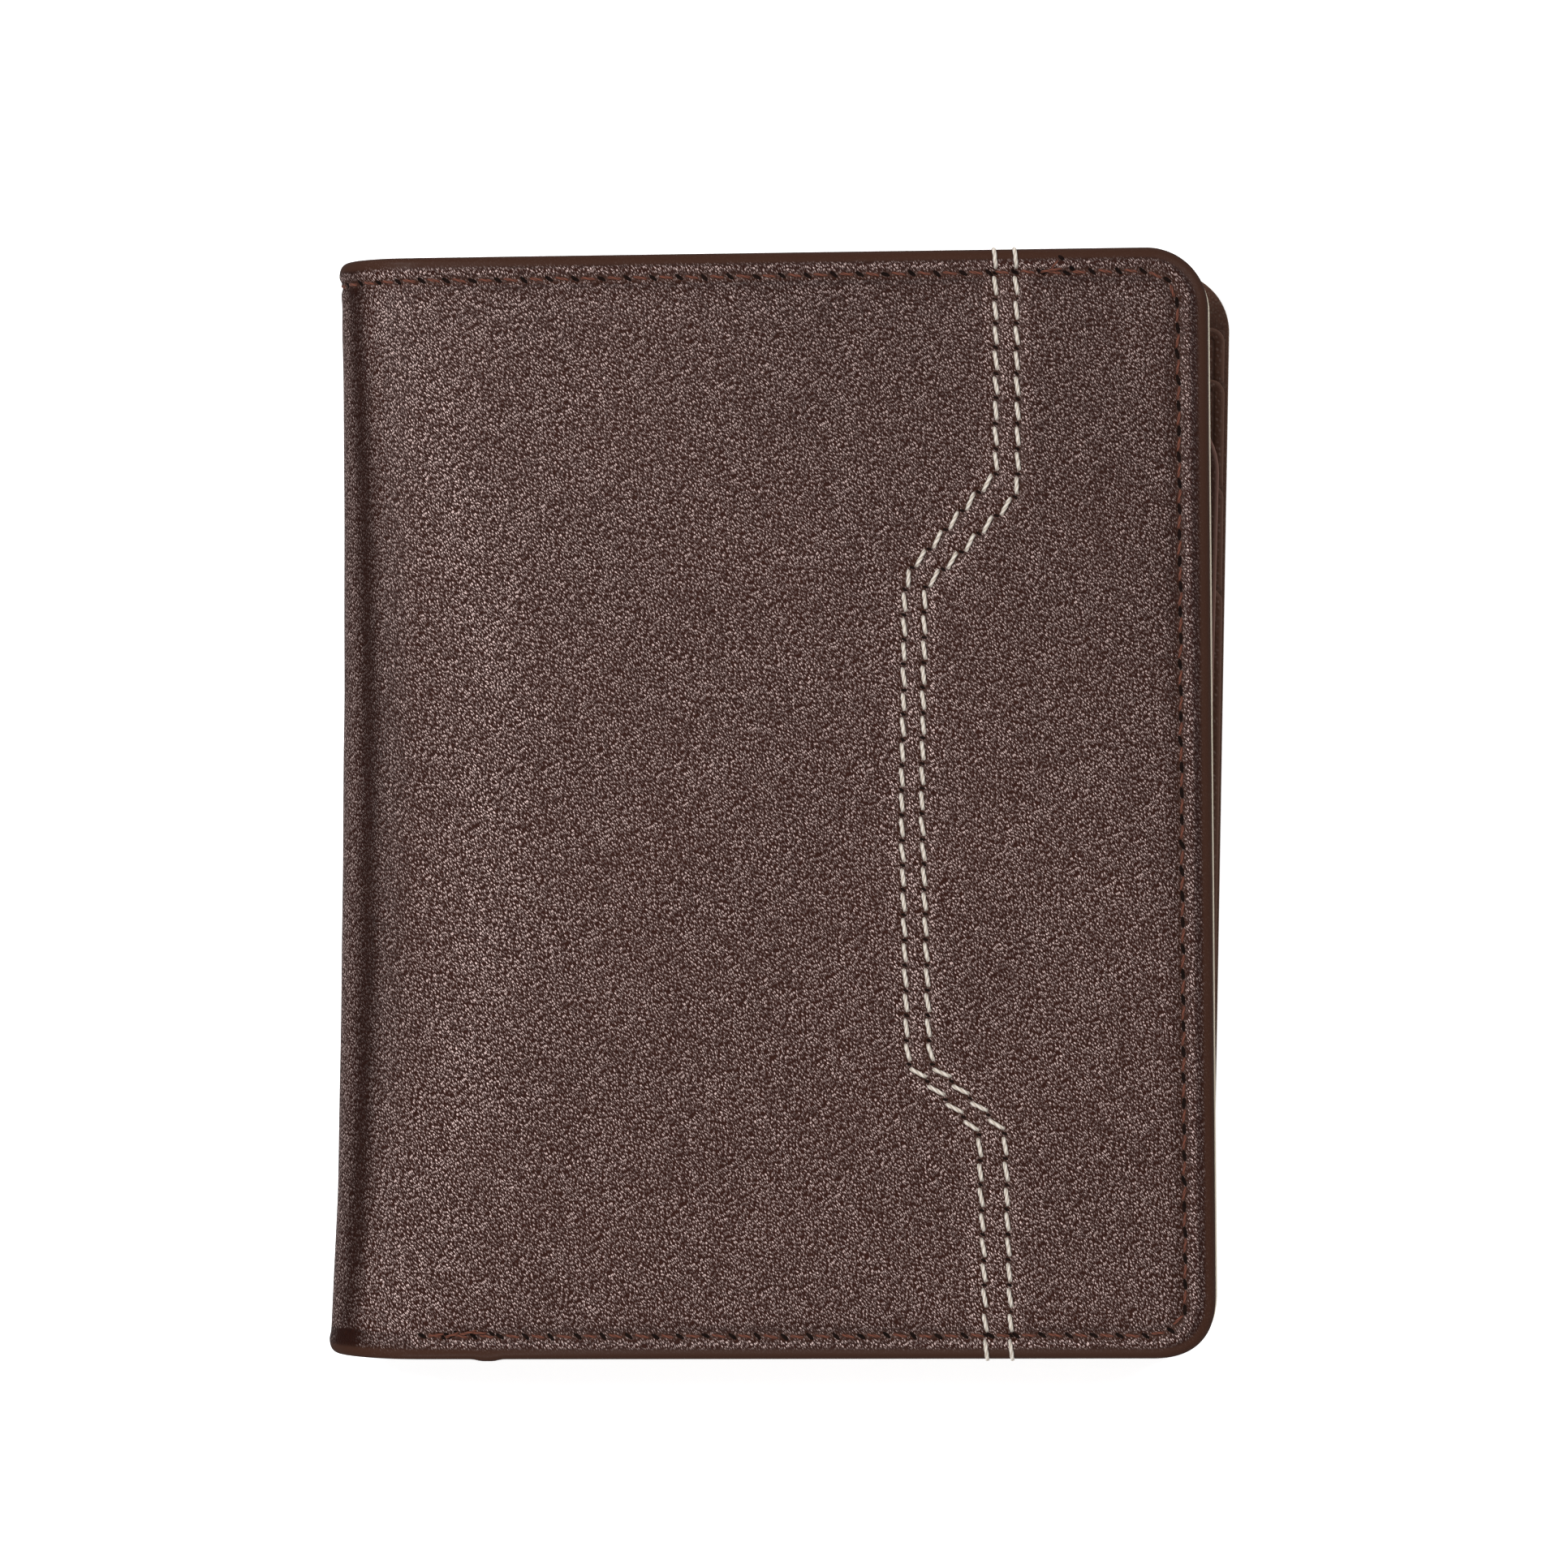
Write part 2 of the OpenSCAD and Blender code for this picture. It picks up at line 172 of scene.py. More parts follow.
def inset_of(side, a, y):
    """Distance inside a cover's outline."""
    ca, cy = a - (PANEL_W[side] - CORNER_R), np.abs(y) - (HALF_H - CORNER_R)
    straight = np.minimum(PANEL_W[side] - a, HALF_H - np.abs(y))
    return np.where((ca > 0) & (cy > 0), CORNER_R - np.hypot(ca, cy), straight)


# Cream rows: each point is the distance back from ROW_FROM towards the fold, then down from the top
ROW_FROM = 89.5
ROW_OUTER = [
    (21.5, 2.7), (21.4, 27.6), (32, 38), (32.5, 63), (31.9, 91.4), (23.5, 99.3), (23, 122.3)
]
ROW_INNER = [
    (23.8, 2.7), (23.9, 25.2), (34.2, 36.6), (34.8, 63), (34.4, 91.5), (26.4, 99.2), (25.8, 122.3)
]


def row_points(row):
    return [(ROW_FROM - p, HALF_H - q) for p, q in row]


def distance_to(points, a, y):
    """Distance to a line through points."""
    best = np.full(a.shape, 1e9)
    for (a0, y0), (a1, y1) in zip(points, points[1:]):
        la, ly = a1 - a0, y1 - y0
        t = np.clip(((a - a0) * la + (y - y0) * ly) / (la * la + ly * ly), 0, 1)
        best = np.minimum(best, np.hypot(a - a0 - t * la, y - y0 - t * ly))
    return best


def stations_on(points, count):
    """count + 1 points evenly along a line."""
    p = np.array(points, float)
    step = np.hypot(*np.diff(p, axis=0).T)
    at = np.concatenate([[0], np.cumsum(step)])
    s = np.linspace(0, at[-1], count + 1)
    return np.stack([np.interp(s, at, p[:, 0]), np.interp(s, at, p[:, 1])], -1)


def path_length(points):
    return float(np.hypot(*np.diff(np.array(points, float), axis=0).T).sum())


def arc(ca, cy, r, a0, a1, n=14):
    t = np.radians(np.linspace(a0, a1, n + 1))
    return [(ca + r * math.cos(x), cy + r * math.sin(x)) for x in t]


def seam_path(side):
    """The edge seam: from its start at the foot, round the opening side and over the fold's top."""
    far, r = PANEL_W[side] - SIDE_SEAM, SEAM_TURN
    top = HALF_H - SEAM
    return (
        [(0.4, -top)]
        + arc(far - r, -top + r, r, -90, 0)
        + arc(far - r, top - r, r, 0, 90)
        + [(-HALF_SPINE, top)]
    )


def holes_of(points, pitch):
    count = max(round(path_length(points) / pitch), 1)
    return stations_on(points, count)


SEAM_HOLES = {side: holes_of(seam_path(side), SEAM_PITCH) for side in (BACK, FRONT)}
ROWS = {"outer": row_points(ROW_OUTER), "inner": row_points(ROW_INNER)}
ROW_HOLES = {name: holes_of(points, ROW_PITCH) for name, points in ROWS.items()}
WAVES = [
    (math.cos(t) / w, math.sin(t) / w, p, h)
    for t, w, p, h in zip(
        rng.uniform(0, math.pi, 10),
        rng.uniform(1.6, 5.5, 10),
        rng.uniform(0, 6.3, 10),
        rng.uniform(0.006, 0.02, 10),
    )
]


def dimples(a, y, holes, deep, wide):
    """Soft dents around needle holes."""
    d = np.zeros(a.shape)
    for lo in range(0, len(a), 4000):
        part = slice(lo, lo + 4000)
        r2 = (a[part, None] - holes[None, :, 0]) ** 2 + (y[part, None] - holes[None, :, 1]) ** 2
        d[part] = deep * np.exp(-r2.min(1) / wide**2)
    return d


def relief(side, a, y):
    """How far the soft outside face lies below the flat CAD face."""
    shape = np.broadcast(a, y).shape
    a = np.broadcast_to(a, shape).astype(float).ravel()
    y = np.broadcast_to(y, shape).astype(float).ravel()
    i = inset_of(side, a, y)
    from_seam = distance_to(seam_path(side), a, y)
    side_w = np.where(a > -5, 16.0, 5.0)
    d = SAG * np.exp(-(((a + 5) / side_w) ** 2))
    for ka, ky, phase, high in WAVES:
        d += high * np.sin(a * ka + y * ky + phase + side)
    sewn = np.where(y < 0, smooth((a + 0.5) / 1.5), 1.0)
    d += SEAM_DENT * np.exp(-((from_seam / 0.55) ** 2)) * sewn
    d -= 0.13 * np.exp(-(((i - 1.6) / 0.6) ** 2))
    d += 0.10 * np.exp(-(((i - 5.2) / 1.6) ** 2)) * sewn
    d += dimples(a, y, SEAM_HOLES[side], 0.2, 0.5)
    if side == FRONT:
        for name, points in ROWS.items():
            d += ROW_DENT * np.exp(-((distance_to(points, a, y) / 0.55) ** 2))
            d += dimples(a, y, ROW_HOLES[name], 0.2, 0.45)
        between = [tuple(np.mean(pair, axis=0)) for pair in zip(*ROWS.values())]
        d -= 0.08 * np.exp(-((distance_to(between, a, y) / 0.7) ** 2))
    return d.reshape(shape)


def paint_sheen_and_shade(side, a, y):
    """Painted highlights and painted shade in the base colour: lighter where the leather rounds into
    the fold and along the seams, darker in the fold's line and beside the edge. It stands in for
    gloss and shade that the shader and the lights should make, so it stays put when the light changes."""
    rise2 = (y / HALF_H) ** 2
    shine = 0.32 * np.exp(-(((a - 8 + 13 * rise2) / 5) ** 2)) + 0.08 * np.exp(-(((a - 10) / 14) ** 2))
    shine -= 0.9 * np.exp(-(((a + 6.2 + 2.4 * rise2) / 1.9) ** 2))
    shine -= 0.2 * np.exp(-(((a + 2.2) / 2.2) ** 2)) * (1 - rise2)
    shine -= 0.2 * smooth((a + y - 60) / 60)
    shine -= 0.4 * smooth((-y - HALF_H + 1.3) / 0.9)
    from_seam = distance_to(seam_path(side), a, y)
    outer = inset_of(side, a, y) < 3.2
    shine += 0.35 * outer * np.exp(-(((from_seam - 0.8) / 0.35) ** 2))
    shine -= 0.6 * outer * smooth((from_seam - 1.1) / 0.5)
    shine -= 0.3 * ~outer * np.exp(-(((from_seam - 0.6) / 0.8) ** 2))
    if side == FRONT:
        from_rows = np.min([distance_to(row, a, y) for row in ROWS.values()], axis=0)
        shine += 0.5 * np.exp(-(((from_rows - 0.95) / 0.45) ** 2))
    return shine


# ---------------------------------------------------------------- meshes


def add_object(name, verts, faces, materials, flat_faces=(), slots=None, **attributes):
    """Mesh object from points in metres, with named point attributes."""
    mesh = bpy.data.meshes.new(name)
    mesh.from_pydata([tuple(v) for v in verts], [], [tuple(int(k) for k in f) for f in faces])
    mesh.validate()
    shade = np.ones(len(mesh.polygons), bool)
    shade[list(flat_faces)] = False
    mesh.polygons.foreach_set("use_smooth", shade)
    for m in materials:
        mesh.materials.append(m)
    if slots is not None:
        mesh.polygons.foreach_set("material_index", np.asarray(slots, np.int32))
    for key, values in attributes.items():
        values = np.asarray(values, np.float32)
        kind = "FLOAT" if values.ndim == 1 else "FLOAT_VECTOR"
        layer = mesh.attributes.new(key, kind, "POINT")
        layer.data.foreach_set("value" if kind == "FLOAT" else "vector", values.ravel())
    obj = bpy.data.objects.new(name, mesh)
    bpy.context.scene.collection.objects.link(obj)
    return obj


def cover_sheet(name, side, a_lines, y_lines, rows, materials, flip, worked=None):
    """Closed sheet over a panel and its half of the spine. rows run from CORNER_R inside the
    outline, over the edge and under: (inset, distance along the skin, depth function, how much
    it is worked edge)."""
    na, ny, nr = len(a_lines), len(y_lines), len(rows)
    core_a, core_y = (g.ravel() for g in np.meshgrid(a_lines, y_lines, indexing="ij"))
    end, low, high = a_lines[-1], y_lines[0], y_lines[-1]
    turns = np.radians(np.linspace(0, 90, 41)[1:-1])
    fuller = 1 + (CORNER_FULL if side == FRONT else 0.0) * np.sin(2 * turns) ** 2
    stations = [(a, low, 0.0, -1.0, j * ny) for j, a in enumerate(a_lines)]
    corner = (na - 1) * ny
    stations += [(end, low, k * math.sin(t), -k * math.cos(t), corner) for t, k in zip(turns, fuller)]
    stations += [(end, y, 1.0, 0.0, corner + k) for k, y in enumerate(y_lines)]
    stations += [(end, high, math.cos(t), math.sin(t), na * ny - 1) for t in turns]
    stations += [(a, high, 0.0, 1.0, j * ny + ny - 1) for j, a in reversed(list(enumerate(a_lines)))]
    st = np.array(stations)
    ns = len(st)
    inset = np.array([r[0] for r in rows])
    along = np.array([r[1] for r in rows])
    sa = st[:, None, 0] + st[:, None, 2] * (CORNER_R - inset[None, 1:])
    sy = st[:, None, 1] + st[:, None, 3] * (CORNER_R - inset[None, 1:])
    sd = np.stack([rows[r][2](sa[:, r - 1], sy[:, r - 1]) for r in range(1, nr)], 1)
    bump = np.exp(-((np.abs(sa - FOOT_BUMP_A) / FOOT_BUMP_W) ** 4))
    bump = bump * (sy < -HALF_H + 1.5) * (side == FRONT)
    sy = sy - FOOT_BUMP_H * bump * smooth(1 - np.abs(inset[None, 1:]) / 1.5)
    tip_a = st[:, None, 0] + st[:, None, 2] * along[None, 1:]
    tip_y = st[:, None, 1] + st[:, None, 3] * along[None, 1:]
    all_a = np.concatenate([core_a, sa.ravel()])
    all_y = np.concatenate([core_y, sy.ravel()])
    all_d = np.concatenate([rows[0][2](core_a, core_y), sd.ravel()])
    sheet = np.stack(
        [
            np.concatenate([core_a, tip_a.ravel()]),
            np.concatenate([core_y, tip_y.ravel()]),
            np.zeros(len(all_a)),
        ],
        -1,
    )
    edge = np.concatenate([np.zeros(len(core_a)), np.tile([r[3] for r in rows[1:]], ns)])
    wear = np.zeros(len(all_a))
    if worked is not None:
        edge = np.maximum(edge, worked(all_a, all_y))
        # Painted highlights and painted shade for the covers' base colour, beside the fold and along the
        # seams.
        wear = paint_sheen_and_shade(side, all_a, all_y)
    base = na * ny

    def at(s, r):
        return int(st[s, 4]) if r == 0 else base + s * (nr - 1) + r - 1

    faces = [
        (j * ny + k, (j + 1) * ny + k, (j + 1) * ny + k + 1, j * ny + k + 1)
        for j in range(na - 1)
        for k in range(ny - 1)
    ]
    for s in range(ns - 1):
        for r in range(nr - 1):
            quad = (at(s, r), at(s, r + 1), at(s + 1, r + 1), at(s + 1, r))
            faces.append(quad if quad[0] != quad[3] else quad[:3])
    smooth_count = len(faces)
    last = nr - 1
    folded = na - 1
    for j in range(folded):
        faces.append((at(j + 1, last), at(j, last), at(ns - 1 - j, last), at(ns - 2 - j, last)))
    faces.append([at(s, last) for s in range(ns - 1 - folded, folded - 1, -1)])
    faces.append(
        [at(0, r) for r in range(last, 0, -1)]
        + list(range(ny))
        + [at(ns - 1, r) for r in range(1, nr)]
    )
    if flip:
        faces = [tuple(reversed(f)) for f in faces]
    verts = place(side, all_a, all_y, all_d)
    return add_object(
        name, verts, faces, materials, range(smooth_count, len(faces)), sheet=sheet, edge=edge, wear=wear
    )


def lines(*spans):
    """Grid lines from (start, end, step) spans that follow each other."""
    out = [spans[0][0]]
    for lo, hi, step in spans:
        out += list(np.linspace(lo, hi, max(round((hi - lo) / step), 1) + 1)[1:])
    return np.array(out)


def leather_cover(side):
    w = PANEL_W[side]
    fine = (w - 37, w - 19.5)
    step = 0.33 if side == FRONT else 0.5
    a_lines = lines(
        (-HALF_SPINE, -HALF_SPINE + 0.04, 0.04),
        (-HALF_SPINE + 0.04, 0.0, 0.42),
        (0.0, fine[0], 0.45),
        (fine[0], fine[1], step),
        (fine[1], w - CORNER_R, 0.45),
    )
    y_lines = lines((-HALF_H + CORNER_R, HALF_H - CORNER_R, 0.36 if side == FRONT else 0.45))
    rows = [
        (CORNER_R - s, s, lambda a, y: relief(side, a, y), float(1 - smooth((CORNER_R - s - 1.0) / 0.5)))
        for s in lines((0, 3.0, 0.6), (3.0, CORNER_R - BEAD, 0.24))
    ]
    for t in np.radians(np.arange(12, 169, 12)):

        def rim(a, y, t=t):
            top = relief(side, a, y)
            return BEAD * (1 - math.cos(t)) + top * (1 - t / math.pi) ** 2

        rows.append((BEAD * (1 - math.sin(t)), CORNER_R - BEAD + BEAD * t, rim, 1.0))
    hidden = lambda a, y: np.full(a.shape, LINING_D - 0.01)
    rows.append((BEAD, CORNER_R - BEAD + BEAD * math.pi, hidden, 1.0))
    sewn_lines = [seam_path(side)] + (list(ROWS.values()) if side == FRONT else [])

    def worked(a, y):
        from_line = np.min([distance_to(path, a, y) for path in sewn_lines], axis=0)
        return 0.7 * np.exp(-((from_line / 0.45) ** 2))

    return cover_sheet(
        SIDE_NAME[side] + "_leather", side, a_lines, y_lines, rows, [OUTER_LEATHER], side == BACK, worked
    )


def lining_sheet(side):
    """Lining of a half, seen from inside: the rows run over its raw edge to its hidden face."""
    w = PANEL_W[side] + (0.26 if side == FRONT else 0.0)
    raw = 1.0 if side == FRONT else 0.15
    a_lines = lines((-HALF_SPINE, 0.0, 0.8), (0.0, w - CORNER_R, 6.0))
    high = HALF_H - CORNER_R - (0.3 if side == FRONT else 0.0)
    y_lines = lines((-high, high, 5.0))
    inner = lambda a, y: np.full(a.shape, COVER_D)
    rows = [
        (CORNER_R, 0.0, inner, 0.0),
        (2.0, 5.0, inner, 0.0),
        (0.1, 6.9, inner, 0.0),
        (0.06, 6.94, inner, raw),
        (0.0, 7.0, lambda a, y: np.full(a.shape, COVER_D - 0.06), raw),
        (0.0, 7.3, lambda a, y: np.full(a.shape, LINING_D + 0.06), raw),
        (0.08, 7.4, lambda a, y: np.full(a.shape, LINING_D), raw),
    ]
    name = SIDE_NAME[side] + "_lining_sheet"
    return cover_sheet(name, side, a_lines, y_lines, rows, [LINING], side == FRONT)


def ring_inset(outline, by):
    """Outline moved inwards. Points run counterclockwise."""
    p = np.array(outline, float)
    before, after = p - np.roll(p, 1, 0), np.roll(p, -1, 0) - p
    n0 = np.stack([-before[:, 1], before[:, 0]], -1) / np.hypot(*before.T)[:, None]
    n1 = np.stack([-after[:, 1], after[:, 0]], -1) / np.hypot(*after.T)[:, None]
    n = n0 + n1
    n /= np.maximum((n * n0).sum(1), 0.3)[:, None]
    return p + n * by


def slab(name, outline, profile, to_world, material, hole=None, hole_profile=None, grain=0.0):
    """Closed slab: rings of the outline from its far face round the edge to its near face, with
    both faces filled. profile holds (inset, depth). A hole has its own rings."""
    bm = bmesh.new()
    sheet_key = bm.verts.layers.float_vector.new("sheet")
    edge_key = bm.verts.layers.float.new("edge")
    wear_key = bm.verts.layers.float.new("wear")

    def rings_of(loop, rows, sign):
        made = []
        for inset, depth in rows:
            pts = ring_inset(loop, inset * sign)
            world = to_world(pts[:, 0], pts[:, 1], np.full(len(pts), depth))
            ring = []
            for (u, v), w in zip(pts, world):
                vert = bm.verts.new(w)
                vert[sheet_key] = Vector((u, v + depth + grain, 0.0))
                vert[edge_key] = float(1 - smooth((inset - 0.1) / 0.4))
                # The pressed crease line is darkened in colour: partly the darker leather of a heated
                # crease, partly painted shade in the crease.
                vert[wear_key] = -0.9 if 1.1 < inset < 1.35 else 0.0
                ring.append(vert)
            made.append(ring)
        for r0, r1 in zip(made, made[1:]):
            for k in range(len(r0)):
                n = (k + 1) % len(r0)
                f = bm.faces.new((r0[k], r0[n], r1[n], r1[k]))
                f.smooth = True
        return made[0], made[-1]

    ends = [rings_of(outline, profile, 1)]
    if hole is not None:
        ends.append(rings_of(hole, hole_profile, -1))
    for which in (0, 1):
        if hole is None:
            bm.faces.new(ends[0][which])
            continue
        edges = []
        for pair in ends:
            ring = pair[which]
            edges += [bm.edges.get((ring[k], ring[(k + 1) % len(ring)])) for k in range(len(ring))]
        bmesh.ops.triangle_fill(bm, use_beauty=True, use_dissolve=False, edges=edges)
    bmesh.ops.recalc_face_normals(bm, faces=bm.faces[:])
    mesh = bpy.data.meshes.new(name)
    bm.to_mesh(mesh)
    bm.free()
    mesh.materials.append(material)
    obj = bpy.data.objects.new(name, mesh)
    bpy.context.scene.collection.objects.link(obj)
    return obj


def rounded(x0, x1, y0, y1, r_right, r_left=0.0, notch=None):
    """Counterclockwise outline with round corners on the right and, if asked, on the left."""
    pts = []
    if notch:
        w, h = notch
        pts += [(x0, y0 + h), (x0 + w, y0 + h), (x0 + w, y0)]
    elif r_left:
        pts += arc(x0 + r_left, y0 + r_left, r_left, 180, 270, 6)
    else:
        pts += [(x0, y0)]
    pts += arc(x1 - r_right[0], y0 + r_right[0], r_right[0], -90, 0, 12) if r_right[0] else [(x1, y0)]
    pts += arc(x1 - r_right[1], y1 - r_right[1], r_right[1], 0, 90, 12) if r_right[1] else [(x1, y1)]
    pts += arc(x0 + r_left, y1 - r_left, r_left, 90, 180, 6) if r_left else [(x0, y1)]
    return pts


def sewn_profile(d0, d1, crease=True):
    """Rings of an inner leather layer: soft edge, then a pressed line along it."""
    b = 0.16
    rows = [(0.5, d0), (b, d0), (0.03, d0 + 0.1), (0.0, (d0 + d1) / 2)]
    rows += [(0.03, d1 - 0.1), (b, d1), (0.5, d1)]
    if crease:
        rows += [(1.0, d1), (1.15, d1 - 0.09), (1.3, d1 - 0.09), (1.45, d1)]
    return rows


# ---------------------------------------------------------------- thread


def skin(side, a, y):
    """Point on the outside face for y unrolled over the edge, with its outward direction (y, d)."""
    over = np.clip((np.abs(y) - (HALF_H - BEAD)) / BEAD, 0, 2.6)
    sign = np.sign(y)
    y2 = sign * (np.minimum(np.abs(y), HALF_H - BEAD) + BEAD * np.sin(over))
    d = BEAD * (1 - np.cos(over)) + relief(side, a, y2) * (1 - over / math.pi) ** 2
    return y2, d, sign * np.sin(over), -np.cos(over)


class Thread:
    """Collects stitches as twisted three-ply tubes, and dark lenses of painted shade in the holes that
    they dive into.
    """

    SIDES, RINGS = 12, 17

    def __init__(self):
        self.verts, self.faces, self.slots, self.along = [], [], [], []
        self.count = 0

    def add(self, points, faces, slot, along):
        """Closed shell, turned outside out if its side of the case mirrored it."""
        middle = points.mean(0)
        corners = [points[list(f[:3])] - middle for f in faces if len(f) < 5]
        if sum(np.linalg.det(c) for c in corners) < 0:
            faces = [tuple(reversed(f)) for f in faces]
        self.faces += [tuple(k + self.count for k in f) for f in faces]
        self.slots += [slot] * len(faces)
        self.verts.append(points)
        self.along.append(along)
        self.count += len(points)

    def stitch(self, p0, p1, surface, lean=0.1, r=THREAD_R, high=0.12, dive=0.42, gap=0.42):
        """One stitch from hole p0 to hole p1 on a surface function."""
        p0, p1 = np.array(p0, float), np.array(p1, float)
        run = p1 - p0
        length = float(np.hypot(*run))
        t = np.linspace(-1, 1, self.RINGS)
        heading = run / length
        across = np.array([-heading[1], heading[0]])
        reach = (length - gap) / 2
        mid = (p0 + p1) / 2
        line = mid + np.outer(t * reach, heading) + np.outer(t * lean * length / 2, across)
        lift = high - (high + dive) * np.abs(t) ** 5
        width = r * (1 - 0.28 * np.abs(t) ** 4)
        turn = np.linspace(0, 2 * math.pi, self.SIDES, endpoint=False)
        s = t * reach
        lobe = 1 + 0.13 * np.cos(PLIES * turn[None, :] - s[:, None] * TWIST)
        side_off = width[:, None] * lobe * np.cos(turn)
        up_off = width[:, None] * lobe * np.sin(turn) * 0.92
        a = line[:, 0, None] + across[0] * side_off
        y = line[:, 1, None] + across[1] * side_off
        points = surface(a.ravel(), y.ravel(), (lift[:, None] + up_off).ravel(), line, self.SIDES)
        n = self.SIDES
        faces = [
            (k * n + m, (k + 1) * n + m, (k + 1) * n + (m + 1) % n, k * n + (m + 1) % n)
            for k in range(self.RINGS - 1)
            for m in range(n)
        ]
        faces += [tuple(range(n)), tuple(reversed(range((self.RINGS - 1) * n, self.RINGS * n)))]
        strand = (np.repeat(s + self.count, n), np.tile(turn, self.RINGS), np.repeat(np.abs(t), n))
        self.add(points, faces, 0, np.stack(strand, -1))

    def hole(self, p, surface, angle, long=0.3, wide=0.14, high=0.09):
        """A needle hole as a flat lens, turned by angle, in a near-black colour that paints the shade
        inside the hole.
        """
        n, rows = 12, (-90, -45, 0, 45, 90)
        turn = np.linspace(0, 2 * math.pi, n, endpoint=False)
        pts, lifts = [], []
        for row in rows[1:-1]:
            k = math.cos(math.radians(row))
            u, v = long * k * np.cos(turn), wide * k * np.sin(turn)
            c, s = math.cos(angle), math.sin(angle)
            pts.append(np.stack([p[0] + c * u - s * v, p[1] + s * u + c * v], -1))
            lifts.append(np.full(n, high * math.sin(math.radians(row))))
        pts = np.concatenate([[p], *pts, [p]])
        lifts = np.concatenate([[-high], *lifts, [high]])
        points = surface(pts[:, 0], pts[:, 1], lifts, pts, 1)
        faces = [(0, 1 + (m + 1) % n, 1 + m) for m in range(n)]
        for k in range(2):
            b = 1 + k * n
            faces += [(b + m, b + (m + 1) % n, b + n + (m + 1) % n, b + n + m) for m in range(n)]
        tip = 1 + 3 * n
        faces += [(1 + 2 * n + m, 1 + 2 * n + (m + 1) % n, tip) for m in range(n)]
        self.add(points, faces, 1, np.zeros((len(points), 3)))

    def finish(self, name, materials):
        verts, strand = np.concatenate(self.verts), np.concatenate(self.along)
        return add_object(name, verts, self.faces, materials, slots=self.slots, strand=strand)


def outside(side):
    """Surface function for stitches on the outside face: lift is measured outwards."""

    def surface(a, y, lift, line, repeat):
        y2, d, ny, nd = skin(side, a, y)
        base_d = np.repeat(skin(side, line[:, 0], line[:, 1])[1], repeat)
        d = np.where(np.abs(y) > HALF_H - BEAD - 0.3, d, base_d)
        return place(side, a, y2 + ny * lift, d + nd * lift)

    return surface


def inner_depth(y):
    """Depth of the face that the inside of the seam shows on, at a height y."""
    levels = [COVER_D, SLOT_D] + [SLOT_D + LEVEL_T * (k + 1) for k in range(3)]
    tops = [WALL_TOP, *SLOT_TOPS]
    d = np.full(np.shape(y), levels[0])
    for top, level in zip(tops, levels[1:]):
        d = np.where(y < top, level, d)
    return d


def inside(side):
    """Surface function for stitches on the layers inside a half."""

    def surface(a, y, lift, line, repeat):
        d = np.repeat(inner_depth(line[:, 1]), repeat)
        return place(side, a, y, d + lift)

    return surface


def leaf_face(upper):
    def surface(a, y, lift, line, repeat):
        d = 3 * LEAF_LAYER + lift if upper else -lift
        return on_leaf(a, y, d)

    return surface


def seam_thread(side):
    """Edge seam on the outside of a half, with the places where the machine sewed twice."""
    thread = Thread()
    surface = outside(side)
    holes = SEAM_HOLES[side].copy()
    jitter = rng.normal(0, 0.045, holes.shape)
    jitter[0] = jitter[-1] = 0
    holes += jitter
    for p0, p1 in zip(holes, holes[1:]):
        thread.stitch(p0, p1, surface, lean=-0.1 + rng.normal(0, 0.02), r=0.17, high=0.08, gap=1.0)
    for p in holes:
        upright_run = abs(p[0] - (PANEL_W[side] - SIDE_SEAM)) < 0.8
        angle = -80 if upright_run else -36
        long = 0.66 if upright_run else 0.55
        thread.hole(p, surface, math.radians(angle + rng.normal(0, 7)), long=long, wide=0.24)
    if side == FRONT:
        foot = -HALF_H + SEAM
        again = [(0.6, 3.2, 0.05, 0.1), (2.6, 4.9, -0.1, 0.3)]
        again += [(4.2, 6.9, 0.25, 0.5), (5.6, 8.0, 0.55, 0.15)]
        for a0, a1, y0, y1 in again:
            thread.stitch((a0, foot + y0), (a1, foot + y1), surface, lean=0.12, r=0.15, high=0.24)
        for a, y in ((4.3, 0.3), (8.2, 0.3), (2.7, -0.15)):
            thread.hole((a, foot + y), surface, math.radians(-38), long=0.45, wide=0.19)
        top = HALF_H - SEAM
        thread.stitch((71.6, top + 0.1), (73.1, top + 1.5), surface, lean=0.1, r=0.13, high=0.14)
        thread.stitch((70.3, top + 0.15), (73.6, top + 0.2), surface, lean=0.1, r=0.16, high=0.2)
        for a, y in ((73.1, 1.55), (74.3, 0.35), (71.2, 0.1)):
            thread.hole((a, top + y), surface, math.radians(-40), long=0.42, wide=0.22)
    return thread.finish(SIDE_NAME[side] + "_seam_thread", [BROWN_THREAD, HOLE_SHADE])


def inner_seam_thread(side):
    """The same seam as it shows on the inside, on the layers that it holds."""
    thread = Thread()
    surface = inside(side)
    holes = SEAM_HOLES[side]
    for p0, p1 in zip(holes, holes[1:]):
        if p0[1] < 0 and min(p0[0], p1[0]) < 9.5:
            continue
        if np.ptp(inner_depth(np.array([p0[1], p1[1]]))) > 0:
            continue
        thread.stitch(p0, p1, surface, lean=0.08, r=0.17, high=0.07, dive=0.3)
    return thread.finish(SIDE_NAME[side] + "_inner_seam_thread", [BROWN_THREAD, HOLE_SHADE])


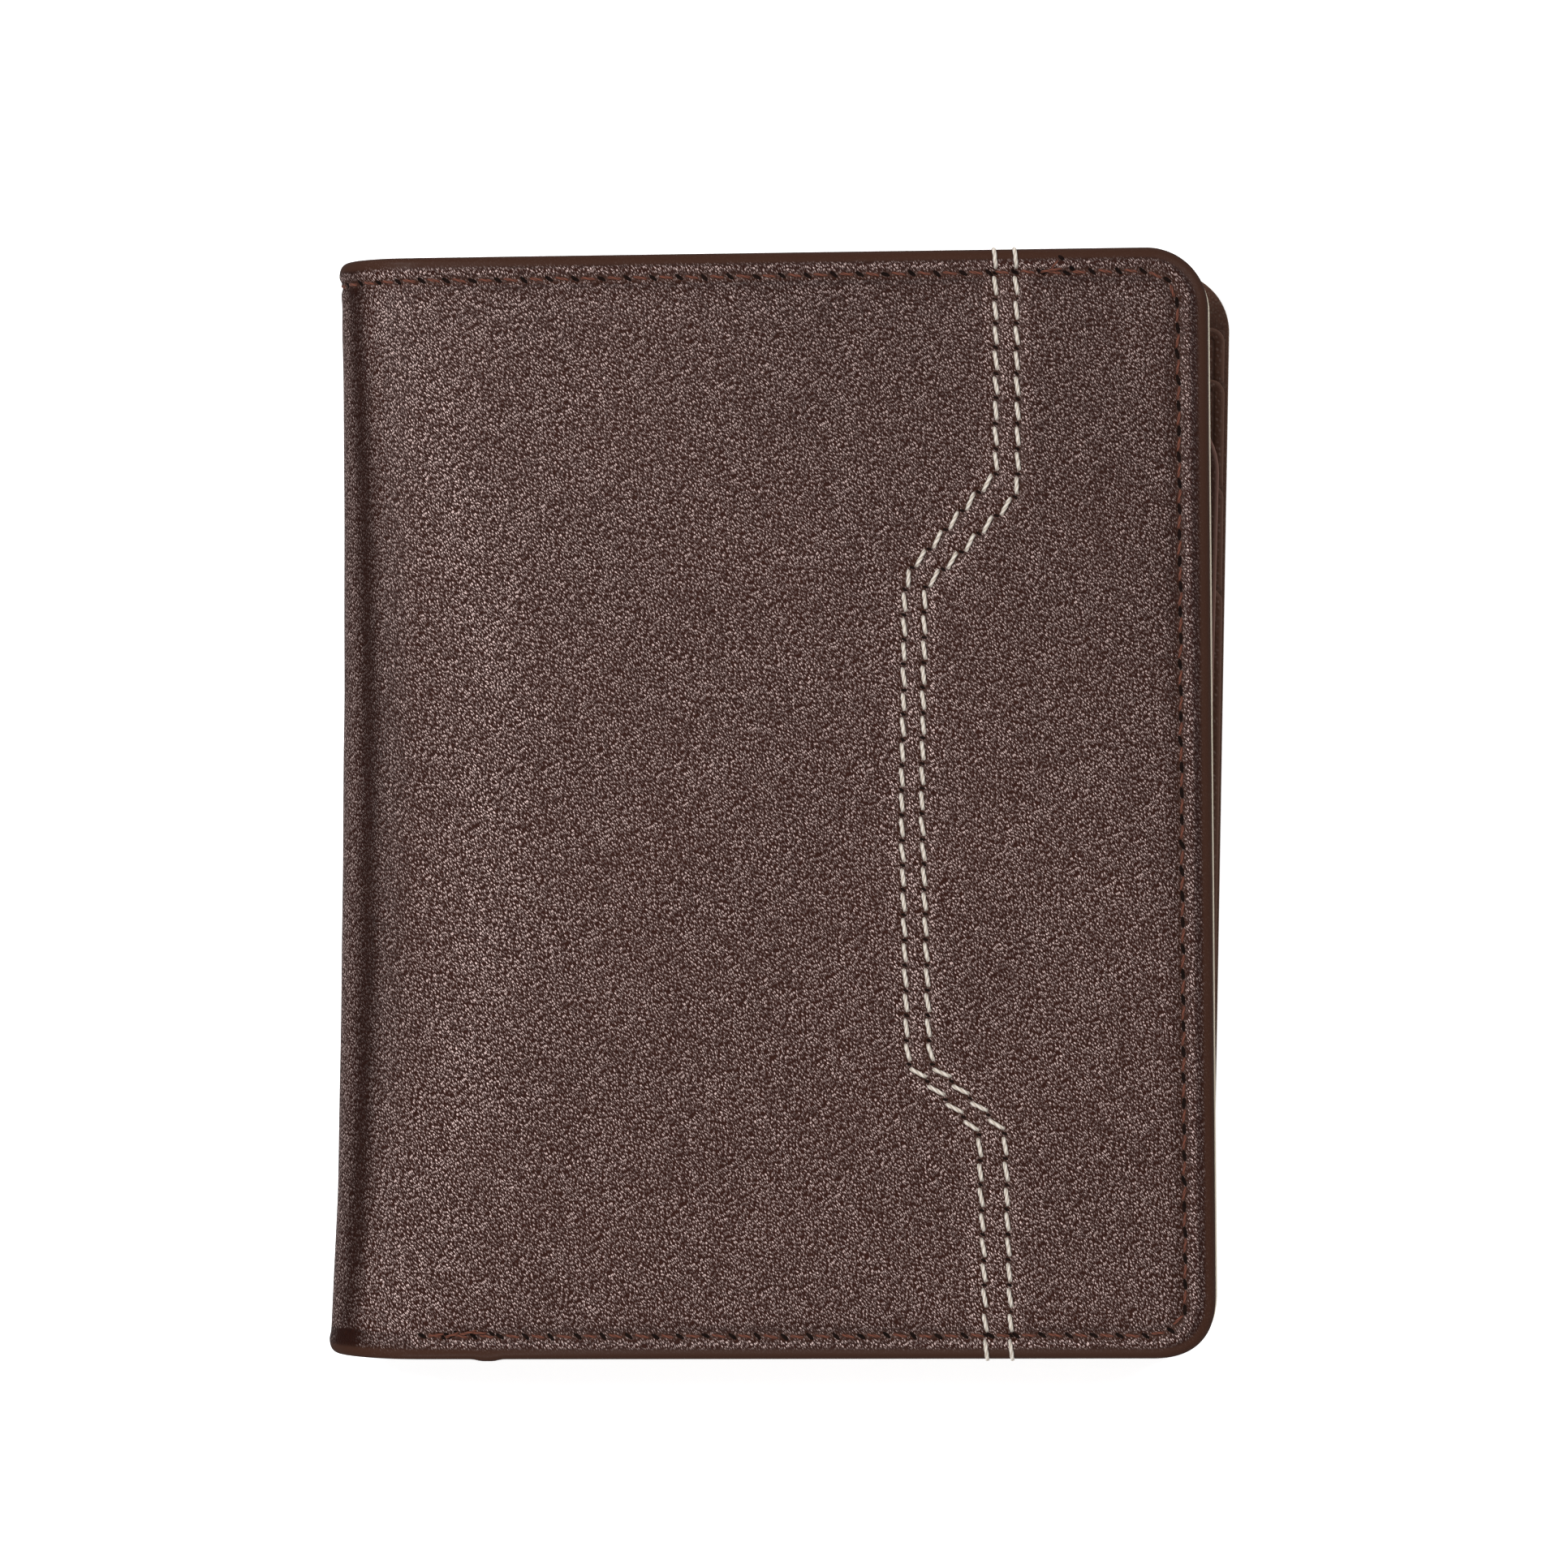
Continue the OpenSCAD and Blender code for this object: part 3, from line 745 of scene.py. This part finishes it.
def contrast_thread(name):
    """Cream row that crosses the front and wraps over both edges."""
    thread = Thread()
    surface = outside(FRONT)
    holes = ROW_HOLES[name].copy()
    holes[1:-1] += rng.normal(0, 0.035, holes[1:-1].shape)
    for p0, p1 in zip(holes, holes[1:]):
        lean = 0.26 if abs(p1[0] - p0[0]) > 0.8 else 0.13
        thread.stitch(p0, p1, surface, lean=lean + rng.normal(0, 0.02), r=0.24, high=0.17)
    first, last = holes[0], holes[-1]
    over = HALF_H + 1.1
    thread.stitch((first[0] - 0.12, over), first, surface, lean=0.05, r=0.225, high=0.16)
    thread.stitch(last, (last[0] + 0.1, -over), surface, lean=0.1, r=0.225, high=0.16)
    for p in holes:
        thread.hole(p, surface, math.radians(-25 + rng.normal(0, 8)), long=0.36, wide=0.2)
    return thread.finish("contrast_thread_" + name, [CREAM_THREAD, HOLE_SHADE])


# ---------------------------------------------------------------- materials


class Nodes:
    """Short way to write a node tree."""

    def __init__(self, name):
        self.material = bpy.data.materials.new(name)
        self.material.use_nodes = True
        self.tree = self.material.node_tree
        self.shader = self.tree.nodes["Principled BSDF"]

    def add(self, kind, **settings):
        node = self.tree.nodes.new(kind)
        for key, value in settings.items():
            if key in node.inputs:
                node.inputs[key].default_value = value
            else:
                setattr(node, key, value)
        return node

    def link(self, out, to):
        self.tree.links.new(out, to)

    def math(self, operation, x, y=None, clamp=False):
        node = self.add("ShaderNodeMath", operation=operation, use_clamp=clamp)
        for k, v in enumerate((x, y)):
            if v is None:
                continue
            if isinstance(v, (int, float)):
                node.inputs[k].default_value = v
            else:
                self.link(v, node.inputs[k])
        return node.outputs[0]

    def ramp(self, fac, stops):
        node = self.add("ShaderNodeValToRGB")
        ramp = node.color_ramp
        while len(ramp.elements) < len(stops):
            ramp.elements.new(0.5)
        for element, (at, color) in zip(ramp.elements, stops):
            element.position = at
            element.color = (*color, 1.0) if len(color) == 3 else color
        self.link(fac, node.inputs["Fac"])
        return node.outputs["Color"]

    def mix(self, fac, x, y, blend="MIX"):
        node = self.add("ShaderNodeMix", data_type="RGBA", blend_type=blend)
        for socket, v in ((node.inputs[0], fac), (node.inputs[6], x), (node.inputs[7], y)):
            if isinstance(v, (int, float)):
                socket.default_value = v
            elif isinstance(v, tuple):
                socket.default_value = (*v, 1.0)
            else:
                self.link(v, socket)
        return node.outputs[2]

    def attribute(self, name, output="Vector"):
        return self.add("ShaderNodeAttribute", attribute_name=name).outputs[output]

    def mapping(self, vector, scale, angle=0.0):
        node = self.add("ShaderNodeMapping", vector_type="TEXTURE")
        node.inputs["Scale"].default_value = (*scale, 1.0)
        node.inputs["Rotation"].default_value = (0, 0, angle)
        self.link(vector, node.inputs["Vector"])
        return node.outputs["Vector"]

    def noise(self, vector, scale, detail=2.0, rough=0.5):
        node = self.add("ShaderNodeTexNoise", Scale=scale, Detail=detail, Roughness=rough)
        self.link(vector, node.inputs["Vector"])
        return node.outputs["Fac"]

    def bump(self, height, strength, distance, before=None):
        node = self.add("ShaderNodeBump", Strength=strength, Distance=distance)
        self.link(height, node.inputs["Height"])
        if before is not None:
            self.link(before, node.inputs["Normal"])
        return node.outputs["Normal"]


GRAIN_ANGLE = math.radians(-58)
GLINT_R = 0.38


def leather(name, base, glint, edge_color, grain_mm=(0.43, 0.16), rough=(0.25, 0.38), grain=0.045):
    """Grained leather: broken, wavy creases that lean one way, with uneven dye and a smooth
    worked edge. The crests are lightened in the base colour as painted glints, in place of real
    glints, and a point attribute paints highlights and shade into the base colour. grain_mm
    is the size of a crease, rough goes from the crests to the hollows and grain is the height
    of the creases in millimetres."""
    n = Nodes(name)
    sheet = n.attribute("sheet")
    edge = n.attribute("edge", "Fac")
    warp = n.add("ShaderNodeTexNoise", Scale=0.5, Detail=1.0)
    n.link(sheet, warp.inputs["Vector"])
    shift = n.add("ShaderNodeVectorMath", operation="SCALE", Scale=0.6)
    n.link(warp.outputs["Color"], shift.inputs[0])
    moved = n.add("ShaderNodeVectorMath", operation="ADD")
    n.link(sheet, moved.inputs[0])
    n.link(shift.outputs[0], moved.inputs[1])
    pebble_at = n.mapping(moved.outputs[0], grain_mm, GRAIN_ANGLE)
    pebbles = n.add("ShaderNodeTexVoronoi", voronoi_dimensions="2D", Scale=1.0)
    n.link(pebble_at, pebbles.inputs["Vector"])
    away = pebbles.outputs["Distance"]
    crest = n.math("SUBTRACT", 1.0, n.math("MULTIPLY", away, 1 / GLINT_R), clamp=True)
    chance = n.add("ShaderNodeSeparateXYZ")
    n.link(pebbles.outputs["Color"], chance.inputs[0])
    lit = n.math("ADD", n.math("POWER", chance.outputs[0], 2.0), 0.12)
    patch = n.ramp(n.noise(sheet, 0.16), [(0.35, (0.86, 0.86, 0.86)), (0.65, (1.0, 1.0, 1.0))])
    plain = n.math("SUBTRACT", 1.0, n.math("MULTIPLY", edge, 0.94))
    # Point attribute of painted highlights and painted shade on the covers, and of the darker pressed
    # crease on the inner layers.
    wear = n.math("ADD", n.attribute("wear", "Fac"), 1.0)
    painted_glint = n.math("MULTIPLY", n.math("POWER", crest, 0.7), lit)
    painted_glint = n.math("MULTIPLY", painted_glint, n.math("MULTIPLY", patch, plain))
    painted_glint = n.math("MULTIPLY", painted_glint, wear)
    fine = n.noise(n.mapping(moved.outputs[0], (0.3, 0.17), GRAIN_ANGLE), 1.0, 2.0, 0.6)
    swell = n.math("MULTIPLY", n.math("SUBTRACT", 1.0, away), plain)
    height = n.math("ADD", swell, n.math("MULTIPLY", n.math("MULTIPLY", fine, plain), 0.5))
    n.link(n.bump(height, 1.0, grain * MM), n.shader.inputs["Normal"])
    cloud = n.noise(sheet, 0.055, 3.0, 0.55)
    uneven = n.ramp(cloud, [(0.3, (0.93, 0.92, 0.92)), (0.7, (1.06, 1.05, 1.04))])
    mottle = n.ramp(fine, [(0.3, (0.78, 0.76, 0.75)), (0.7, (1.2, 1.2, 1.2))])
    tone = n.mix(1.0, n.mix(1.0, base, uneven, "MULTIPLY"), mottle, "MULTIPLY")
    # Painted shade, and the darker pressed crease: the base colour darkens where the point attribute is
    # below zero.
    shade_and_crease_tint = n.ramp(wear, [(0.3, (0.6, 0.57, 0.55)), (1.0, (1.0, 1.0, 1.0))])
    tone = n.mix(1.0, tone, shade_and_crease_tint, "MULTIPLY")
    tone = n.mix(edge, tone, edge_color)
    # Painted glints: light dashes mixed into the base colour.
    n.link(n.mix(painted_glint, tone, glint), n.shader.inputs["Base Color"])
    r = n.math("SUBTRACT", rough[1], n.math("MULTIPLY", crest, rough[1] - rough[0]))
    n.link(n.math("ADD", r, n.math("MULTIPLY", edge, 0.1)), n.shader.inputs["Roughness"])
    n.shader.inputs["Specular IOR Level"].default_value = 0.09
    return n.material


def thread_material(name, dark, light, fuzz):
    """Twisted thread: each ply is painted lighter on its crest and darker between plies, as painted
    highlight and shade, with stray darker fibres. Its ends are painted dark as shade where they dive into
    the holes.
    """
    n = Nodes(name)
    strand = n.add("ShaderNodeSeparateXYZ")
    n.link(n.attribute("strand"), strand.inputs[0])
    s, turn, tip = strand.outputs
    phase = n.math("SUBTRACT", n.math("MULTIPLY", turn, float(PLIES)), n.math("MULTIPLY", s, TWIST))
    ply = n.math("ADD", n.math("MULTIPLY", n.math("COSINE", phase), 0.5), 0.5)
    geometry = n.add("ShaderNodeTexCoord").outputs["Object"]
    fibre = n.noise(geometry, 9000.0, 3.0, 0.6)
    blotch = n.noise(geometry, 900.0, 1.0, 0.5)
    # Painted highlight and shade of the plies: lighter on each crest, darker in the grooves between them.
    mixed = n.math("ADD", n.math("MULTIPLY", ply, 0.55), n.math("MULTIPLY", fibre, 0.45))
    tone = n.ramp(mixed, [(0.15, dark), (0.7, light)])
    tone = n.mix(n.math("MULTIPLY", blotch, 0.35), tone, dark)
    # Painted shade: the thread darkens towards its ends, where it dives into the holes.
    deep = n.math("POWER", tip, 7.0)
    shaded = n.mix(n.math("MULTIPLY", deep, 0.8), tone, tuple(0.12 * c for c in dark))
    n.link(shaded, n.shader.inputs["Base Color"])
    n.link(n.bump(n.math("ADD", ply, fibre), 0.6, 0.00005), n.shader.inputs["Normal"])
    n.shader.inputs["Roughness"].default_value = 0.72
    n.shader.inputs["Sheen Weight"].default_value = fuzz
    n.shader.inputs["Specular IOR Level"].default_value = 0.3
    return n.material


def hole_shade_material():
    n = Nodes("needle_hole_shade")
    at = n.add("ShaderNodeTexCoord").outputs["Object"]
    # Near-black colours: painted shade standing for the inside of a needle hole.
    hole_shade_tones = [(0.3, (0.0035, 0.0015, 0.001)), (0.8, (0.012, 0.0045, 0.003))]
    n.link(n.ramp(n.noise(at, 2500.0), hole_shade_tones), n.shader.inputs["Base Color"])
    n.shader.inputs["Roughness"].default_value = 0.9
    n.shader.inputs["Specular IOR Level"].default_value = 0.1
    return n.material


def film_material():
    n = Nodes("window_film")
    at = n.add("ShaderNodeTexCoord").outputs["Object"]
    ripple = n.noise(at, 90.0, 2.0)
    n.link(n.bump(ripple, 0.35, 0.0006), n.shader.inputs["Normal"])
    clear = [(0.3, (0.5, 0.53, 0.55)), (0.7, (0.65, 0.68, 0.7))]
    n.link(n.ramp(ripple, clear), n.shader.inputs["Base Color"])
    n.shader.inputs["Roughness"].default_value = 0.12
    n.shader.inputs["IOR"].default_value = 1.5
    n.shader.inputs["Alpha"].default_value = 0.05
    return n.material


OUTER_LEATHER = leather(
    "outer_leather",
    (0.0285, 0.0082, 0.005),
    (0.95, 0.72, 0.67),
    (0.045, 0.018, 0.0108),
)
INNER_LEATHER = leather(
    "inner_leather",
    (0.075, 0.034, 0.022),
    (0.17, 0.11, 0.092),
    (0.12, 0.062, 0.044),
    grain_mm=(0.6, 0.4),
    rough=(0.42, 0.58),
    grain=0.025,
)
LEAF_LEATHER = leather(
    "leaf_leather",
    (0.05, 0.022, 0.016),
    (0.12, 0.072, 0.06),
    (0.17, 0.09, 0.072),
    grain_mm=(0.6, 0.4),
    rough=(0.42, 0.58),
    grain=0.025,
)
LINING = leather(
    "lining_leather",
    (0.085, 0.041, 0.028),
    (0.13, 0.085, 0.065),
    (0.82, 0.73, 0.58),
    grain_mm=(0.4, 0.34),
    rough=(0.5, 0.65),
    grain=0.015,
)
SPACER = leather(
    "spacer_leather",
    (0.05, 0.025, 0.018),
    (0.09, 0.055, 0.042),
    (0.08, 0.042, 0.03),
    grain_mm=(0.4, 0.34),
    rough=(0.55, 0.7),
    grain=0.015,
)
BROWN_THREAD = thread_material("brown_thread", (0.045, 0.012, 0.006), (0.19, 0.055, 0.029), 0.1)
CREAM_THREAD = thread_material("cream_thread", (0.4, 0.33, 0.26), (0.8, 0.73, 0.65), 0.3)
HOLE_SHADE = hole_shade_material()
FILM = film_material()

# ---------------------------------------------------------------- pieces

SPINE_NODES = ("spine_cover", "spine_board", "spine_padding")


def bend_with(obj):
    """The piece crosses the fold between its half and the spine; its transform is only baked into its
    mesh.
    """
    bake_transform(obj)
    return obj


def inner_layers(side):
    """Spacers, wall and pockets of a half."""
    name, w = SIDE_NAME[side], PANEL_W[side]
    to_world = flat(side)
    right = w - INNER_INSET
    r = CORNER_R - INNER_INSET
    x1 = right - SLOT_ARM
    x0 = x1 - SLOT_W

    def layer(piece, node, top, d0, d1):
        outline = rounded(INNER_A, right, INNER_Y, top, (r, 1.7), notch=(NOTCH_W, NOTCH_H))
        obj = slab(piece, outline, sewn_profile(d0, d1), to_world, INNER_LEATHER, grain=d0 * 7)
        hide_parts(node)
        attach(obj, name)

    def strip(piece, node, top, floor_y, d0, d1, walled):
        """U or L shaped strip around a slot."""
        foot = arc(right - r, INNER_Y + r, r, -90, 0, 12)
        notch_a = INNER_A + NOTCH_W
        pts = [(max(x0, notch_a) if walled else notch_a, INNER_Y)] + foot
        pts += [(right, top), (x1, top), (x1, floor_y)]
        if walled:
            pts += [(x0, floor_y), (x0, top), (INNER_A, top)]
            pts += [(INNER_A, INNER_Y + NOTCH_H), (notch_a, INNER_Y + NOTCH_H)]
        else:
            pts += [(notch_a, floor_y)]
        obj = slab(piece, pts, sewn_profile(d0, d1, crease=False), to_world, SPACER, grain=d0 * 7)
        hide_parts(node)
        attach(obj, name)

    below = 0.2
    floor_y = INNER_Y + 3
    strip(f"{name}_note_spacer", f"{name}_wall_spacer", WALL_TOP - below, floor_y, COVER_D, WALL_D, False)
    layer(f"{name}_note_wall", f"{name}_pocket_wall", WALL_TOP, WALL_D, SLOT_D)
    for k, top in enumerate(SLOT_TOPS):
        d0 = SLOT_D + k * LEVEL_T
        d1, d2, floor_y = d0 + SLOT_GAP, d0 + LEVEL_T, top - SLOT_DEPTH
        n = k + 1
        strip(f"{name}_card_spacer_{n}", f"{name}_slot_spacer_{n}", top - below, floor_y, d0, d1, True)
        layer(f"{name}_card_pocket_{n}", f"{name}_pocket_{n}", top, d1, d2)


for side in (BACK, FRONT):
    name = SIDE_NAME[side]
    cover = bend_with(leather_cover(side))
    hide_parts(name + "_cover", name + "_board", name + "_padding")
    if side == BACK:
        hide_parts(*SPINE_NODES)
    lining = bend_with(lining_sheet(side))
    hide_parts(name + "_lining")
    if side == BACK:
        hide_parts("spine_lining")
    seam = bend_with(seam_thread(side))
    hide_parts(name + "_edge_stitch")
    if side == FRONT:
        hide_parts("spine_edge_stitch")
    inner_seam = bend_with(inner_seam_thread(side))
    inner_layers(side)

for name in ("outer", "inner"):
    row = contrast_thread(name)
    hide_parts("contrast_stitch_" + name)
    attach(row, "front")

def leaf_thread(x0, x1, y0, y1):
    """The leaf's seam, seen on both of its faces."""
    thread = Thread()
    r = LEAF_R - LEAF_SEAM
    path = [(x0, y0)] + arc(x1 - r, y0 + r, r, -90, 0) + arc(x1 - r, y1 - r, r, 0, 90) + [(x0, y1)]
    holes = holes_of(path, SEAM_PITCH)
    for upper in (True, False):
        for p0, p1 in zip(holes, holes[1:]):
            thread.stitch(p0, p1, leaf_face(upper), lean=0.08, r=0.15, high=0.05, dive=0.22)
    return thread.finish("leaf_seam_thread", [BROWN_THREAD, HOLE_SHADE])


def leaf_layers():
    """The turning leaf, from its top leather down: leather, spacer, film and windowed leather."""
    x0, x1, y0, y1, t = LEAF_X, LEAF_X + LEAF_W, LEAF_Y, LEAF_Y + LEAF_H, LEAF_LAYER
    outline = rounded(x0, x1, y0, y1, (LEAF_R, LEAF_R), r_left=1.8)
    front = slab("leaf_top_leather", outline, sewn_profile(2 * t, 3 * t), on_leaf, LEAF_LEATHER, grain=60)
    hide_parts("leaf_front_leather")

    pocket_w = WINDOW_W + 2 * WINDOW_FRAME
    px0, py0 = x0 + (LEAF_W - pocket_w) / 2, y0 + WINDOW_UP
    px1 = px0 + pocket_w
    wx0, wy0 = px0 + WINDOW_FRAME, py0 + WINDOW_FRAME
    window = rounded(wx0, wx0 + WINDOW_W, wy0, wy0 + WINDOW_H, (1.2, 1.2), r_left=1.2)
    profile = [(inset, t - d) for inset, d in sewn_profile(0, t)]
    rear = slab(
        "leaf_under_leather", outline, profile, on_leaf, LEAF_LEATHER, window, profile, grain=75
    )
    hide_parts("leaf_rear_leather")

    strip = (
        [(x0, y0)]
        + arc(x1 - LEAF_R, y0 + LEAF_R, LEAF_R, -90, 0, 12)
        + arc(x1 - LEAF_R, y1 - LEAF_R, LEAF_R, 0, 90, 12)
        + [(px1, y1), (px1, py0), (px0, py0), (px0, y1), (x0, y1)]
    )
    spacer = slab(
        "leaf_spacer_leather", strip, sewn_profile(t, 2 * t, crease=False), on_leaf, SPACER, grain=90
    )
    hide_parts("leaf_spacer")

    top = py0 + WINDOW_H + 2 * WINDOW_FRAME
    outline = rounded(px0 + 0.2, px1 - 0.2, py0 + 0.1, top - 0.1, (1.0, 1.0), r_left=1.0)
    edge = [(0.04, t), (0, t + 0.05), (0, t + 0.15), (0.04, t + 0.2)]
    film = slab("leaf_window_film", outline, edge, on_leaf, FILM)
    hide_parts("leaf_window")

    seam = leaf_thread(x0 + LEAF_SEAM, x1 - LEAF_SEAM, y0 + LEAF_SEAM, y1 - LEAF_SEAM)
    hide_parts("leaf_stitch")
    for obj, slot in (
        (front, "inner_leather"),
        (rear, "inner_leather"),
        (spacer, "lining_leather"),
        (film, "clear_film"),
        (seam, "brown_thread"),
    ):
        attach(obj, "leaf")


leaf_layers()


def hinge_strip():
    """Leather strip that folds from under the leaf onto the back half's top pocket."""
    low = np.array([(-39.2, 7.26), (-40.5, 7.26), (-41.6, 7.28)])
    turns = np.radians(np.arange(0, 181, 15))
    bend = np.stack([HINGE_X - HINGE_R * np.sin(turns), HINGE_Z - HINGE_R * np.cos(turns)], -1)
    up = np.array([(-41.6, 8.52), (-41.0, 8.5)])
    centre = np.concatenate([low, bend, up])
    run = np.gradient(centre, axis=0)
    run /= np.hypot(*run.T)[:, None]
    n = np.stack([-run[:, 1], run[:, 0]], -1) * HINGE_T / 2
    loop = np.concatenate([centre + n, (centre - n)[::-1]])
    ys = np.linspace(*HINGE_Y, 60)
    verts = np.array([(x, y, z) for y in ys for x, z in loop]) * MM
    m = len(loop)
    faces = [
        (k * m + i, k * m + (i + 1) % m, (k + 1) * m + (i + 1) % m, (k + 1) * m + i)
        for k in range(len(ys) - 1)
        for i in range(m)
    ]
    faces += [tuple(reversed(range(m))), tuple(range((len(ys) - 1) * m, len(ys) * m))]
    arc_at = np.concatenate([[0], np.cumsum(np.hypot(*np.diff(loop, axis=0).T))])
    sheet = np.array([(s, y, 0) for y in ys for s in arc_at])
    flat_edge = np.zeros(len(verts))
    return add_object("leaf_hinge_strip", verts, faces, [INNER_LEATHER], sheet=sheet, edge=flat_edge)


strip = hinge_strip()
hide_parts("leaf_hinge_tab")
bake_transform(strip)

# ---------------------------------------------------------------- floor, light and camera

bpy.ops.mesh.primitive_plane_add(size=6, location=(0, 0, -0.0002))
floor = bpy.context.object
floor.name = "floor"
paper = Nodes("floor_paper")
paper_at = paper.add("ShaderNodeTexCoord").outputs["Object"]
paper.link(
    paper.ramp(paper.noise(paper_at, 3.0), [(0.3, (0.93, 0.93, 0.93)), (0.7, (0.96, 0.96, 0.96))]),
    paper.shader.inputs["Base Color"],
)
paper.shader.inputs["Roughness"].default_value = 0.9
paper.shader.inputs["Emission Color"].default_value = (1.0, 1.0, 1.0, 1.0)
paper.shader.inputs["Emission Strength"].default_value = 0.6
paper.shader.inputs["Specular IOR Level"].default_value = 0.1
floor.data.materials.append(paper.material)
floor.visible_glossy = False

world = bpy.data.worlds.new("studio")
bpy.context.scene.world = world
world.use_nodes = True
world.node_tree.nodes["Background"].inputs["Color"].default_value = (0.97, 0.98, 1.0, 1.0)
world.node_tree.nodes["Background"].inputs["Strength"].default_value = 0.2


def area_light(name, location, size, power, color=(1, 1, 1)):
    light = bpy.data.lights.new(name, "AREA")
    light.shape = "RECTANGLE"
    light.size, light.size_y = size
    light.energy = power
    light.color = color
    obj = bpy.data.objects.new(name, light)
    obj.location = location
    obj.rotation_euler = (Vector((0, 0, 0)) - Vector(location)).to_track_quat("-Z", "Y").to_euler()
    bpy.context.scene.collection.objects.link(obj)


area_light("key", (-0.5, 0.3, 0.8), (0.22, 0.3), 6.5)
area_light("fill", (0.55, 0.5, 0.8), (0.3, 0.3), 3.8)
area_light("foot", (-0.1, -0.7, 0.75), (0.35, 0.25), 3.4)

camera_data = bpy.data.cameras.new("camera")
camera_data.sensor_width = 36.0
camera_data.lens = 119.3
camera_data.clip_start, camera_data.clip_end = 0.01, 20.0
camera = bpy.data.objects.new("camera", camera_data)
camera.location = (0, 0.0024, 0.6)
camera.rotation_euler = (0, 0, math.radians(0.45))
bpy.context.scene.collection.objects.link(camera)
bpy.context.scene.camera = camera
bpy.context.scene.view_settings.view_transform = "Standard"
